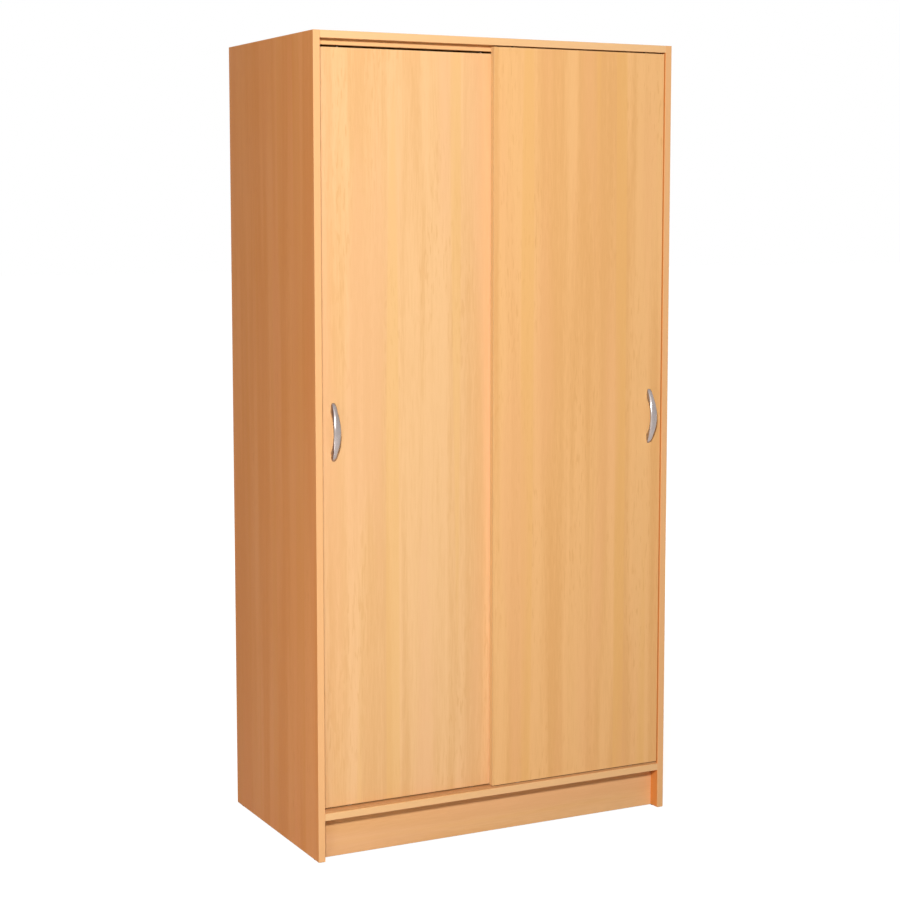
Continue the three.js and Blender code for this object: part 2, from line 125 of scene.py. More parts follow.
@dataclass(frozen=True)
class Room:
    """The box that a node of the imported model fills."""

    low: Vector
    high: Vector

    @classmethod
    def of(cls, node: str) -> "Room":
        """Reads a node's box."""
        return cls(*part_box(node))

    @property
    def width(self) -> float:
        """Its size along X."""
        return self.high.x - self.low.x

    @property
    def depth(self) -> float:
        """Its size along Y."""
        return self.high.y - self.low.y

    @property
    def height(self) -> float:
        """Its size along Z."""
        return self.high.z - self.low.z

    @property
    def middle(self) -> Vector:
        """Its middle."""
        return (self.low + self.high) / 2

    @property
    def foot(self) -> Vector:
        """The middle of its underside."""
        return Vector((self.middle.x, self.middle.y, self.low.z))


@dataclass(frozen=True)
class Cloud:
    """A layer of noise.

    It has its waves for each metre along each axis, its finer layers, its shift, the span of values in
    which its patches fade in, how much of them shows, and how strong its finer layers are.
    """

    stretch: Triple
    detail: float
    shift: Triple = (0.0, 0.0, 0.0)
    span: Pair = (0.3, 0.7)
    most: float = 1.0
    roughness: float = 0.5


class Drawing:
    """A node tree being drawn, with one short call for each kind of node that the finishes use."""

    def __init__(self, tree: NodeTree) -> None:
        """Keeps the tree that the calls draw in."""
        self.tree = tree

    def feed(self, socket: NodeSocket, value: Value) -> None:
        """Links a socket to an input, or writes a plain value on it.

        Args:
            socket: The input that gets the value.
            value: The output to link, or the number or colour to write.
        """
        if isinstance(value, NodeSocket):
            self.tree.links.new(value, socket)
        else:
            socket.default_value = value

    def node(self, kind: str, settings: dict[str, object], inputs: dict[str | int, Value]) -> NodeOutputs:
        """Adds a node.

        Args:
            kind: Blender's name for the node's type.
            settings: The node's own properties.
            inputs: Its inputs by name or number.

        Returns:
            The outputs of the new node.
        """
        node = self.tree.nodes.new(kind)
        for name, value in settings.items():
            setattr(node, name, value)
        for key, value in inputs.items():
            self.feed(node.inputs[key], value)
        return node.outputs

    def maths(self, operation: str, first: Value, second: Value) -> NodeSocket:
        """Works on two numbers by the operation of that name."""
        return self.node("ShaderNodeMath", {"operation": operation}, {0: first, 1: second})[0]

    def plus(self, first: Value, second: Value) -> NodeSocket:
        """Adds two numbers."""
        return self.maths("ADD", first, second)

    def less(self, first: Value, second: Value) -> NodeSocket:
        """Takes the second number from the first."""
        return self.maths("SUBTRACT", first, second)

    def times(self, first: Value, second: Value) -> NodeSocket:
        """Multiplies two numbers."""
        return self.maths("MULTIPLY", first, second)

    def vectors(self, operation: str, first: Value, second: Value) -> NodeSocket:
        """Works on two vectors, part by part, by the operation of that name."""
        return self.node("ShaderNodeVectorMath", {"operation": operation}, {0: first, 1: second})[0]

    def parts(self, vector: Value) -> NodeOutputs:
        """Splits a vector into its parts."""
        return self.node("ShaderNodeSeparateXYZ", {}, {0: vector})

    def ramp(self, value: Value, start: float, end: float, bottom: float = 0.0,
             top: float = 1.0) -> NodeSocket:
        """Eases a number that runs from start to end into one from bottom to top, and holds it there."""
        settings = {"interpolation_type": "SMOOTHSTEP", "clamp": True}
        return self.node("ShaderNodeMapRange", settings, {0: value, 1: start, 2: end, 3: bottom, 4: top})[0]

    def blend(self, factor: Value, first: Value, second: Value, mode: str = "MIX") -> NodeSocket:
        """Blends two colours, where the factor says how much of the second shows."""
        settings = {"data_type": "RGBA", "blend_type": mode}
        return self.node("ShaderNodeMix", settings, {0: factor, 6: first, 7: second})[2]

    def laid(self, place: Value, **inputs: Triple) -> NodeSocket:
        """Lays coordinates for a pattern, with a Location, Rotation or Scale."""
        return self.node("ShaderNodeMapping", {}, {"Vector": place, **inputs})[0]

    def noise(self, place: Value, cloud: Cloud) -> NodeSocket:
        """Draws a layer of noise, from 0 to 1.

        Args:
            place: The coordinates.
            cloud: The layer.

        Returns:
            The output that holds the noise.
        """
        laid = self.laid(place, Scale=cloud.stretch, Location=cloud.shift)
        inputs = {"Vector": laid, "Scale": 1.0, "Detail": cloud.detail, "Roughness": cloud.roughness}
        return self.node("ShaderNodeTexNoise", {}, inputs)[0]

    def patches(self, place: Value, cloud: Cloud) -> NodeSocket:
        """Draws a layer of noise as soft patches."""
        return self.ramp(self.noise(place, cloud), *cloud.span, 0.0, cloud.most)

    def bump(self, height: Value, relief: Pair) -> NodeSocket:
        """Makes a normal of a height, by the metres that it stands for and how much of it shows."""
        inputs = {"Height": height, "Distance": relief[0], "Strength": relief[1]}
        return self.node("ShaderNodeBump", {}, inputs)[0]

    def place(self) -> NodeSocket:
        """Gives the object coordinates."""
        return self.node("ShaderNodeTexCoord", {}, {})["Object"]

    def seen(self) -> NodeSocket:
        """Gives 1 to the eye and to what is mirrored or seen through, and 0 to the light on the boards.

        Returns:
            The output that holds it.
        """
        rays = self.node("ShaderNodeLightPath", {}, {})
        either = self.maths("MAXIMUM", rays["Is Camera Ray"], rays["Is Glossy Ray"])
        return self.maths("MAXIMUM", either, rays["Is Transmission Ray"])


class Effect:
    """A node group with named sockets, built once and placed in each finish that uses it."""

    made: dict[str, NodeTree] = {}

    def __init__(self, name: str, inputs: dict[str, Kind], outputs: dict[str, Kind]) -> None:
        """Makes the group and its sockets, of which the first is always its coordinates.

        Args:
            name: The group's name.
            inputs: The kind of each further input.
            outputs: The kind of each output.
        """
        self.tree = bpy.data.node_groups.new(name, "ShaderNodeTree")
        for way, sockets in (("INPUT", {"Vector": Kind.VECTOR, **inputs}), ("OUTPUT", outputs)):
            for socket, kind in sockets.items():
                self.tree.interface.new_socket(socket, in_out=way, socket_type=kind.value)
        self.draw = Drawing(self.tree)
        self.inputs = self.tree.nodes.new("NodeGroupInput").outputs
        self.place = self.inputs["Vector"]
        self.outputs = self.tree.nodes.new("NodeGroupOutput").inputs
        Effect.made[name] = self.tree

    def give(self, **results: NodeSocket) -> None:
        """Links results to the group's outputs of the same name."""
        for name, result in results.items():
            self.draw.feed(self.outputs[name], result)

    @staticmethod
    def use(draw: Drawing, name: str, place: Value, **inputs: Value) -> NodeOutputs:
        """Places a group in a material, with its coordinates and its further inputs."""
        group = {"node_tree": Effect.made[name]}
        return draw.node("ShaderNodeGroup", group, {"Vector": place, **inputs})


@dataclass(frozen=True)
class BeechGrain:
    """The printed beech: bands, fine pores and short flecks that run along Z."""

    broad: Cloud = Cloud((17.0, 17.0, 0.45), 2.0, span=(0.42, 0.58))
    narrow: Cloud = Cloud((52.0, 52.0, 1.8), 2.0, (3.1, 1.7, 9.2), (0.40, 0.60))
    pores: Cloud = Cloud((430.0, 430.0, 22.0), 3.0, (7.7, 4.2, 0.3), (0.35, 0.65))
    flecks: Cloud = Cloud((240.0, 240.0, 26.0), 1.0, (0.9, 8.4, 5.5), (0.57, 0.68))
    clusters: Cloud = Cloud((9.0, 9.0, 2.2), 1.0, (6.3, 2.2, 4.8), (0.38, 0.62))
    golden: Cloud = Cloud((23.0, 23.0, 0.25), 0.0, (2.4, 5.1, 1.9), (0.60, 0.66), 0.55)
    rosy: Cloud = Cloud((12.0, 12.0, 0.9), 1.0, (8.8, 0.7, 3.6), (0.48, 0.66), 0.5)
    broad_share: float = 0.72
    narrow_share: float = 0.28
    pore_depth: float = 0.18
    fleck_depth: float = 0.65
    shade_span: Pair = (-0.25, 1.15)

    def make(self) -> None:
        """Draws the grain from four tones."""
        tones = dict.fromkeys(("Light", "Dark", "Golden", "Rosy"), Kind.COLOUR)
        results = {"Color": Kind.COLOUR, "Height": Kind.NUMBER, "Gloss": Kind.NUMBER}
        effect = Effect("beech_grain", tones, results)
        draw, place, given = effect.draw, effect.place, effect.inputs
        bands = draw.plus(draw.times(draw.patches(place, self.broad), self.broad_share),
                          draw.times(draw.patches(place, self.narrow), self.narrow_share))
        pores = draw.noise(place, self.pores)
        flecks = draw.patches(place, self.flecks)
        clusters = draw.patches(place, self.clusters)
        shade = draw.plus(bands, draw.ramp(pores, *self.pores.span, -self.pore_depth, self.pore_depth))
        shade = draw.less(shade, draw.times(draw.times(flecks, clusters), self.fleck_depth))
        plain = draw.blend(draw.ramp(shade, *self.shade_span), given["Dark"], given["Light"])
        warm = draw.blend(draw.patches(place, self.golden), plain, given["Golden"])
        tinted = draw.blend(draw.patches(place, self.rosy), warm, given["Rosy"])
        effect.give(Color=tinted, Height=draw.less(pores, flecks), Gloss=bands)


@dataclass(frozen=True)
class BoardEdges:
    """The masks of a board's narrow sides and of the arrises beside them, by their depth in metres."""

    edge: Pair = (0.0007, 0.0004)
    arris: Pair = (0.0035, 0.0003)

    def make(self) -> None:
        """Draws the masks from the lowest and the highest corner of the board."""
        effect = Effect("board_edges", dict.fromkeys(("Low", "High"), Kind.VECTOR),
                        dict.fromkeys(("Edge", "Arris"), Kind.NUMBER))
        draw, place = effect.draw, effect.place
        inside = draw.vectors("MINIMUM", draw.vectors("SUBTRACT", place, effect.inputs["Low"]),
                              draw.vectors("SUBTRACT", effect.inputs["High"], place))
        parts = draw.parts(inside)
        distance = draw.maths("MINIMUM", draw.maths("MINIMUM", parts[0], parts[1]), parts[2])
        effect.give(Edge=draw.ramp(distance, *self.edge), Arris=draw.ramp(distance, *self.arris))


@dataclass(frozen=True)
class Chipboard:
    """The raw core of the board, with its coarse pale and brown chips."""

    chips: Triple = (420.0, 420.0, 260.0)
    fine: Cloud = Cloud((900.0, 900.0, 900.0), 3.0, span=(0.35, 0.7), most=0.35)
    tan: Colour = (0.50, 0.33, 0.17, 1.0)
    pale: Colour = (0.66, 0.48, 0.28, 1.0)
    bark: Colour = (0.22, 0.12, 0.055, 1.0)
    dust: Colour = (0.36, 0.22, 0.11, 1.0)
    bark_span: Pair = (0.80, 0.90)
    bark_most: float = 0.8

    def make(self) -> None:
        """Draws the chips and the fine dust between them."""
        effect = Effect("chipboard", {}, {"Color": Kind.COLOUR, "Height": Kind.NUMBER})
        draw, place = effect.draw, effect.place
        inputs = {"Vector": draw.laid(place, Scale=self.chips), "Scale": 1.0}
        chips = draw.node("ShaderNodeTexVoronoi", {}, inputs)
        tone = draw.node("ShaderNodeSeparateColor", {}, {0: chips["Color"]})
        fine = draw.noise(place, self.fine)
        bark = draw.ramp(tone[1], *self.bark_span, 0.0, self.bark_most)
        mixed = draw.blend(bark, draw.blend(tone[0], self.tan, self.pale), self.bark)
        dust = draw.ramp(fine, *self.fine.span, 0.0, self.fine.most)
        effect.give(Color=draw.blend(dust, mixed, self.dust), Height=draw.plus(tone[2], fine))


@dataclass(frozen=True)
class Handling:
    """The soft unevenness that fingers and cloths leave in a surface's gloss."""

    detail: float = 3.0
    even: float = 0.5
    swing: float = 2.0

    def make(self) -> None:
        """Draws the uneven roughness."""
        effect = Effect("handling", dict.fromkeys(("Roughness", "Amount", "Size"), Kind.NUMBER),
                        {"Roughness": Kind.NUMBER})
        draw, given = effect.draw, effect.inputs
        inputs = {"Vector": effect.place, "Scale": given["Size"], "Detail": self.detail}
        cloudy = draw.node("ShaderNodeTexNoise", {}, inputs)[0]
        uneven = draw.times(draw.less(cloudy, self.even), given["Amount"])
        effect.give(Roughness=draw.plus(given["Roughness"], draw.times(uneven, self.swing)))


@dataclass(frozen=True)
class Brushing:
    """The fine lines of brushed or drawn metal, which run along Z."""

    lines: Cloud = Cloud((2600.0, 2600.0, 60.0), 3.0)
    clouds: Cloud = Cloud((60.0, 60.0, 30.0), 2.0, (1.2, 3.4, 5.6))
    line_share: float = 0.6
    cloud_share: float = 0.4

    def make(self) -> None:
        """Draws the lines between a light and a dark tone."""
        effect = Effect("brushing", dict.fromkeys(("Light", "Dark"), Kind.COLOUR),
                        {"Color": Kind.COLOUR, "Height": Kind.NUMBER})
        draw, given = effect.draw, effect.inputs
        lines = draw.noise(effect.place, self.lines)
        cloudy = draw.noise(effect.place, self.clouds)
        tone = draw.plus(draw.times(lines, self.line_share), draw.times(cloudy, self.cloud_share))
        plated = draw.blend(draw.ramp(tone, *self.clouds.span), given["Dark"], given["Light"])
        effect.give(Color=plated, Height=lines)


@dataclass(frozen=True)
class Finish:
    """What every finish shares: a surface with its own colour, gloss and relief."""

    name: str

    def look(self, draw: Drawing, place: NodeSocket) -> dict[str, Value]:
        """Draws what the shader's inputs get.

        Args:
            draw: The material's drawing.
            place: The object coordinates.

        Returns:
            The values of the shader's inputs, by their names.
        """
        raise NotImplementedError

    def felt(self, draw: Drawing, place: NodeSocket, marks: Pair, roughness: Value) -> NodeSocket:
        """Adds the marks of fingers to a roughness, by their strength and how many fit in a metre."""
        inputs = {"Roughness": roughness, "Amount": marks[0], "Size": marks[1]}
        return Effect.use(draw, "handling", place, **inputs)["Roughness"]

    def material(self) -> Material:
        """Draws the finish.

        Returns:
            The new material.
        """
        material = bpy.data.materials.new(self.name)
        material.use_nodes = True
        draw = Drawing(material.node_tree)
        shader = material.node_tree.nodes["Principled BSDF"]
        for name, value in self.look(draw, draw.place()).items():
            draw.feed(shader.inputs[name], value)
        return material


@dataclass(frozen=True)
class BeechPrint(Finish):
    """A finish on one board with the beech print on it, in four tones of its own."""

    node: str
    shift: Triple
    light: Colour = (0.940, 0.580, 0.285, 1.0)
    dark: Colour = (0.850, 0.485, 0.212, 1.0)
    golden: Colour = (0.900, 0.540, 0.215, 1.0)
    rosy: Colour = (0.925, 0.535, 0.280, 1.0)

    def printed(self, draw: Drawing, place: NodeSocket, **turn: Triple) -> NodeOutputs:
        """Lays the print on the board, with a Rotation where it is turned."""
        tones = {"Light": self.light, "Dark": self.dark, "Golden": self.golden, "Rosy": self.rosy}
        return Effect.use(draw, "beech_grain", draw.laid(place, Location=self.shift, **turn), **tones)


@dataclass(frozen=True)
class BeechFoil(BeechPrint):
    """Beech-effect foil on particle board, with banded and raw edges."""

    grain: Grain = Grain.UPRIGHT
    banded: tuple[Side, ...] = ()
    raw: tuple[Side, ...] = ()
    tint: Colour = WHITE
    banding: Colour = (0.950, 0.600, 0.300, 1.0)
    banding_cover: float = 0.65
    wear: float = 0.10
    roughness: float = 0.46
    roughness_spread: float = 0.03
    shine: float = 0.12
    marks: Pair = (0.05, 5.0)
    relief: Pair = (0.00006, 0.35)

    def zone(self, sides: Iterable[Side]) -> dict[str, Triple]:
        """Gives the limits that mask some sides of the board.

        Args:
            sides: The sides that the mask covers.

        Returns:
            The lowest and highest corner, out of reach where a side isn't covered.
        """
        limits = ([-FAR] * 3, [FAR] * 3)
        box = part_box(self.node)
        for side in sides:
            axis, sign = side.value
            limits[sign > 0][axis] = box[sign > 0][axis]
        return {"Low": tuple(limits[0]), "High": tuple(limits[1])}

    def look(self, draw: Drawing, place: NodeSocket) -> dict[str, Value]:
        """Draws the foil on the faces, the banding on the shown edges and the core on the raw ones.

        Args:
            draw: The material's drawing.
            place: The object coordinates.

        Returns:
            The values of the shader's inputs, by their names.
        """
        face = self.printed(draw, place, Rotation=self.grain.value)
        # The tint multiplies the print; on the side panels and the right door it is painted shade, on the
        # left door painted sheen.
        colour, height = draw.blend(1.0, face["Color"], self.tint, "MULTIPLY"), face["Height"]
        # Where the banding is darkened, as on the doors, these blends paint shade on the edges and arrises.
        if self.banded:
            shown = Effect.use(draw, "board_edges", place, **self.zone(self.banded))
            colour = draw.blend(draw.times(shown["Arris"], self.wear), colour, self.banding)
            colour = draw.blend(draw.times(shown["Edge"], self.banding_cover), colour, self.banding)
        if self.raw:
            bare = Effect.use(draw, "board_edges", place, **self.zone(self.raw))
            core = Effect.use(draw, "chipboard", place)
            colour = draw.blend(bare["Edge"], colour, core["Color"])
            height = draw.plus(height, draw.times(bare["Edge"], core["Height"]))
        rough, smooth = self.roughness + self.roughness_spread, self.roughness - self.roughness_spread
        gloss = draw.ramp(face["Gloss"], 0.0, 1.0, rough, smooth)
        return {
            "Base Color": colour,
            "Roughness": self.felt(draw, place, self.marks, gloss),
            "Specular IOR Level": self.shine,
            "Normal": draw.bump(height, self.relief),
        }


@dataclass(frozen=True)
class Hardboard(BeechPrint):
    """Thin hardboard: printed beech on the inner face and bare brown fibre behind."""

    light: Colour = (0.86, 0.58, 0.33, 1.0)
    dark: Colour = (0.75, 0.47, 0.24, 1.0)
    golden: Colour = (0.80, 0.52, 0.25, 1.0)
    rosy: Colour = (0.82, 0.51, 0.29, 1.0)
    fibre: Colour = (0.44, 0.27, 0.145, 1.0)
    fibre_dark: Colour = (0.34, 0.195, 0.10, 1.0)
    clouds: Cloud = Cloud((7.0, 7.0, 7.0), 4.0, span=(0.35, 0.65))
    specks: Cloud = Cloud((1300.0, 1300.0, 1300.0), 2.0)
    speck_share: float = 0.5
    print_depth: Pair = (0.0002, 0.0005)
    roughness: Pair = (0.55, 0.82)
    shine: float = 0.3
    relief: Pair = (0.0001, 0.4)

    def look(self, draw: Drawing, place: NodeSocket) -> dict[str, Value]:
        """Draws the print on the front and the pressed fibre on the rear.

        Args:
            draw: The material's drawing.
            place: The object coordinates.

        Returns:
            The values of the shader's inputs, by their names.
        """
        face = self.printed(draw, place)
        cloudy, specks = draw.noise(place, self.clouds), draw.noise(place, self.specks)
        tone = draw.plus(draw.times(cloudy, 1 - self.speck_share), draw.times(specks, self.speck_share))
        bare = draw.blend(draw.ramp(tone, *self.clouds.span), self.fibre_dark, self.fibre)
        front = Room.of(self.node).low.y
        behind = draw.ramp(draw.parts(place)[1], *(front + depth for depth in self.print_depth))
        return {
            "Base Color": draw.blend(behind, face["Color"], bare),
            "Roughness": draw.ramp(behind, 0.0, 1.0, *self.roughness),
            "Specular IOR Level": self.shine,
            "Normal": draw.bump(specks, self.relief),
        }


@dataclass(frozen=True)
class MouldedPlastic(Finish):
    """Moulded or extruded plastic with a fine satin texture."""

    colour: Colour = (0.78, 0.75, 0.69, 1.0)
    deep: Colour = (0.70, 0.67, 0.61, 1.0)
    roughness: float = 0.42
    mottle: Cloud = Cloud((45.0, 45.0, 45.0), 3.0)
    spark: Cloud = Cloud((2400.0, 2400.0, 2400.0), 2.0)
    marks: Pair = (0.08, 60.0)
    relief: Pair = (0.00003, 0.3)

    def look(self, draw: Drawing, place: NodeSocket) -> dict[str, Value]:
        """Draws the faint mottle and the spark-eroded texture of the mould.

        Args:
            draw: The material's drawing.
            place: The object coordinates.

        Returns:
            The values of the shader's inputs, by their names.
        """
        return {
            "Base Color": draw.blend(draw.patches(place, self.mottle), self.deep, self.colour),
            "Roughness": self.felt(draw, place, self.marks, self.roughness),
            "Normal": draw.bump(draw.noise(place, self.spark), self.relief),
        }


@dataclass(frozen=True)
class PlatedMetal(Finish):
    """Plated metal with fine lines along its length."""

    light: Colour = (0.44, 0.39, 0.38, 1.0)
    dark: Colour = (0.33, 0.29, 0.28, 1.0)
    roughness: float = 0.28
    marks: Pair = (0.05, 80.0)
    along: Grain = Grain.UPRIGHT
    relief: Pair = (0.00001, 0.25)

    def look(self, draw: Drawing, place: NodeSocket) -> dict[str, Value]:
        """Draws the plating, its brushed lines and the finger marks in its gloss.

        Args:
            draw: The material's drawing.
            place: The object coordinates.

        Returns:
            The values of the shader's inputs, by their names.
        """
        laid = draw.laid(place, Rotation=self.along.value)
        lines = Effect.use(draw, "brushing", laid, Light=self.light, Dark=self.dark)
        return {
            "Base Color": lines["Color"],
            "Roughness": self.felt(draw, place, self.marks, self.roughness),
            "Metallic": 1.0,
            "Normal": draw.bump(lines["Height"], self.relief),
        }


@dataclass(frozen=True)
class Palette:
    """The finishes that more than one piece shares, drawn once."""

    drawn: dict[Coat, Material]

    @classmethod
    def mixed(cls) -> "Palette":
        """Draws the shared effects and the shared finishes.

        Returns:
            The palette.
        """
        for effect in (BeechGrain(), BoardEdges(), Chipboard(), Handling(), Brushing()):
            effect.make()
        finishes = {
            Coat.NICKEL: PlatedMetal(Coat.NICKEL.value),
            Coat.ZINC: PlatedMetal(Coat.ZINC.value, light=(0.60, 0.61, 0.62, 1.0),
                                   dark=(0.46, 0.47, 0.49, 1.0), roughness=0.38, marks=(0.12, 80.0)),
            Coat.CHROME: PlatedMetal(Coat.CHROME.value, light=(0.80, 0.81, 0.82, 1.0),
                                     dark=(0.74, 0.75, 0.77, 1.0), roughness=0.10, marks=(0.03, 80.0),
                                     along=Grain.ACROSS),
            Coat.WHITE: MouldedPlastic(Coat.WHITE.value),
            Coat.TAN: MouldedPlastic(Coat.TAN.value, colour=(0.62, 0.32, 0.13, 1.0),
                                     deep=(0.56, 0.28, 0.11, 1.0), roughness=0.40),
            Coat.BROWN: MouldedPlastic(Coat.BROWN.value, colour=(0.13, 0.065, 0.03, 1.0),
                                       deep=(0.09, 0.045, 0.02, 1.0), roughness=0.50),
        }
        return cls({coat: finish.material() for coat, finish in finishes.items()})


def dress(node: str, material: Material) -> None:
    """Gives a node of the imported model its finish.

    Args:
        node: The node's name.
        material: The finish.
    """
    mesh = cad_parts[node].data
    mesh.materials.clear()
    mesh.materials.append(material)
    log.info("%s: dressed in %s", node, material.name)


@dataclass
class Assembly:
    """What the sub-assemblies share: their finishes, and the way a piece is finished."""

    palette: Palette

    def dress(self, node: str, coat: Coat) -> None:
        """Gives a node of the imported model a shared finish."""
        dress(node, self.palette.drawn[coat])

    def add(self, shape: BMesh, name: str, coat: Coat, body: str = CARCASS, node: str = "") -> None:
        """Turns a finished bmesh into a piece.

        Args:
            shape: The bmesh, in place. It is freed.
            name: The piece's name.
            coat: Its finish.
            body: The body that it rides on.
            node: The node that it replaces, where there is one.
        """
        bmesh.ops.remove_doubles(shape, verts=shape.verts, dist=MERGE)
        bmesh.ops.recalc_face_normals(shape, faces=shape.faces)
        for face in shape.faces:
            face.smooth = True
        mesh = bpy.data.meshes.new(name)
        shape.to_mesh(mesh)
        shape.free()
        mesh.set_sharp_from_angle(angle=SHARP_ABOVE)
        mesh.materials.append(self.palette.drawn[coat])
        made = bpy.data.objects.new(name, mesh)
        bpy.context.scene.collection.objects.link(made)
        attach(made, body)
        if node:
            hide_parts(node)
        log.info("%s: %d faces on %s", name, len(mesh.polygons), body)

    def fit(self, node: str, model: Callable[[Room], BMesh], coat: Coat, stance: Stance = Stance.UP,
            body: str = CARCASS) -> None:
        """Models the finer version of a node, in its place and named for it.

        Args:
            node: The node's name.
            model: Makes the shape about +Z, for the node's box.
            coat: Its finish.
            stance: The way it stands in the box: on its foot, or lying about its middle.
            body: The body that it rides on.
        """
        room = Room.of(node)
        shape = model(room)
        place = room.middle if stance is Stance.LYING else room.foot
        settle(shape, place, Matrix.Rotation(stance.value, 4, "X"))
        self.add(shape, f"{node}_fine", coat, body, node)


def spun(profile: Sequence[Pair], segments: int, closed: bool = False) -> BMesh:
    """Spins a profile about +Z.

    Args:
        profile: Pairs of radius and level.
        segments: The steps of a full turn.
        closed: True where the profile's last point joins its first.

    Returns:
        The solid, about the origin.
    """
    shape = bmesh.new()
    points = [shape.verts.new((radius, 0.0, level)) for radius, level in profile]
    ends = points[1:] + points[:1] if closed else points[1:]
    edges = [shape.edges.new(pair) for pair in zip(points, ends)]
    bmesh.ops.spin(shape, geom=points + edges, cent=(0, 0, 0), axis=(0, 0, 1), angle=FULL_TURN,
                   steps=segments, use_merge=True)
    bmesh.ops.remove_doubles(shape, verts=shape.verts, dist=MERGE)
    bmesh.ops.dissolve_degenerate(shape, edges=shape.edges, dist=MERGE)
    bmesh.ops.recalc_face_normals(shape, faces=shape.faces)
    return shape


def only(kind: type, items: Iterable[object]) -> list:
    """Picks the items of one kind."""
    return [item for item in items if isinstance(item, kind)]


def mirrored(profile: Sequence[Pair]) -> list[Pair]:
    """Gives a profile that ends under level 0 its upper half."""
    return [*profile, *((radius, -level) for radius, level in reversed(profile))]


def soften(shape: BMesh, width: float) -> None:
    """Rounds the sharp edges by a width."""
    edges = [edge for edge in shape.edges if edge.is_manifold and edge.calc_face_angle(0.0) > SOFTEN_ABOVE]
    bmesh.ops.bevel(shape, geom=edges, offset=width, offset_type="OFFSET", segments=SOFTEN_STEPS, profile=0.5,
                    affect="EDGES", clamp_overlap=True, material=-1)


def settle(shape: BMesh, place: Vector, turn: Matrix | None = None) -> None:
    """Turns a bmesh about the origin and then moves it to its place.

    Args:
        shape: The bmesh.
        place: Where its origin goes.
        turn: The turn, where it has one.
    """
    if turn is not None:
        bmesh.ops.transform(shape, matrix=turn, verts=shape.verts)
    bmesh.ops.translate(shape, vec=place, verts=shape.verts)


def slot_prism(length: float, width: float, low: float, high: float, steps: int) -> BMesh:
    """Makes a block with half-round ends, longest along X.

    Args:
        length: Its length over the round ends.
        width: Its width.
        low: The level of its underside.
        high: The level of its top.
        steps: The steps of each half turn.

    Returns:
        The block.
    """
    shape = bmesh.new()
    bmesh.ops.create_circle(shape, cap_ends=True, radius=width / 2, segments=2 * steps)
    reach = (length - width) / 2
    for vert in shape.verts:
        vert.co.x += math.copysign(reach, vert.co.x) if abs(vert.co.x) > MERGE else 0.0
    side = bmesh.ops.extrude_face_region(shape, geom=shape.faces[:])
    top = only(BMVert, side["geom"])
    bmesh.ops.translate(shape, vec=(0, 0, low), verts=[vert for vert in shape.verts if vert not in set(top)])
    bmesh.ops.translate(shape, vec=(0, 0, high), verts=top)
    bmesh.ops.recalc_face_normals(shape, faces=shape.faces)
    return shape


@dataclass(frozen=True)
class DriverCross:
    """A driver cross: half its length, half the width of its arms, its depth and its disc's steps."""

    reach: float
    width: float
    depth: float
    steps: int = 36

    def disc(self, radius: float, thickness: float) -> BMesh:
        """Makes a disc under z = 0 whose upper face has the cross sunk in it.

        Args:
            radius: The disc's radius.
            thickness: The thickness of the disc.

        Returns:
            The disc, facing +Z.
        """
        shape = bmesh.new()
        bmesh.ops.create_circle(shape, cap_ends=True, radius=radius, segments=self.steps)
        for across in (Vector((1, 0, 0)), Vector((0, 1, 0))):
            for cut in (-self.reach, -self.width, self.width, self.reach):
                geom = shape.verts[:] + shape.edges[:] + shape.faces[:]
                bmesh.ops.bisect_plane(shape, geom=geom, dist=MERGE, plane_co=across * cut, plane_no=across)
        arms = []
        for face in shape.faces:
            near, far = sorted(abs(part) for part in face.calc_center_median()[:2])
            if near < self.width / 2 and far < self.reach:
                arms.append(face)
        ring = [edge for edge in shape.edges if edge.is_boundary]
        rim = bmesh.ops.extrude_edge_only(shape, edges=ring)["geom"]
        bmesh.ops.translate(shape, vec=(0, 0, -thickness), verts=only(BMVert, rim))
        bmesh.ops.contextual_create(shape, geom=only(BMEdge, rim))
        sunk = bmesh.ops.extrude_face_region(shape, geom=arms)["geom"]
        bmesh.ops.translate(shape, vec=(0, 0, -self.depth), verts=only(BMVert, sunk))
        bmesh.ops.delete(shape, geom=arms, context="FACES")
        bmesh.ops.recalc_face_normals(shape, faces=shape.faces)
        return shape


@dataclass
class Carcass(Assembly):
    """The side panels, the level panels, the plinths, the batten and the track."""

    # Painted shade: this darker, more saturated tint makes the side panels look like the shaded sides of the
    # same foil as the doors.
    painted_shade_side_tint: Colour = (0.89, 0.575, 0.305, 1.0)
    side_dark: Colour = (0.880, 0.510, 0.230, 1.0)
    plinth_tint: Colour = (0.94, 0.91, 0.88, 1.0)

    def boards(self) -> Iterator[BeechFoil]:
        """Gives each board's grain, the sides that are banded or raw, and how far its print is shifted.

        Returns:
            The boards' finishes, one by one.
        """
        across, foot = Grain.ACROSS, (Side.FOOT,)
        # Both side panels take the painted-shade tint over their foil.
        for name, shift in (("left", (4.10, 0.0, 0.6)), ("right", (9.35, 0.0, 2.2))):
            yield BeechFoil(f"beech_{name}_side", f"{name}_side_panel", shift, banded=(Side.FRONT, Side.HEAD),
                            raw=(Side.REAR, Side.FOOT), dark=self.side_dark, tint=self.painted_shade_side_tint)
        for name, shift in (("top", (1.7, 0.0, 5.1)), ("shelf", (6.2, 0.0, 7.7)), ("base", (3.3, 0.0, 1.4))):
            yield BeechFoil(f"beech_{name}", f"{name}_panel", shift, grain=across, banded=(Side.FRONT,),
                            raw=(Side.REAR,))
        yield BeechFoil("beech_plinth", "plinth", (8.6, 0.0, 3.0), grain=across, raw=foot,
                        tint=self.plinth_tint)
        yield BeechFoil("beech_rear_plinth", "rear_plinth", (2.9, 0.0, 9.4), grain=across, raw=foot)
        yield BeechFoil("beech_batten", "top_guide_batten", (7.5, 0.0, 0.2), grain=across)

    def build(self) -> None:
        """Dresses the boards and the track."""
        for board in self.boards():
            dress(board.node, board.material())
        self.dress("bottom_track", Coat.TAN)


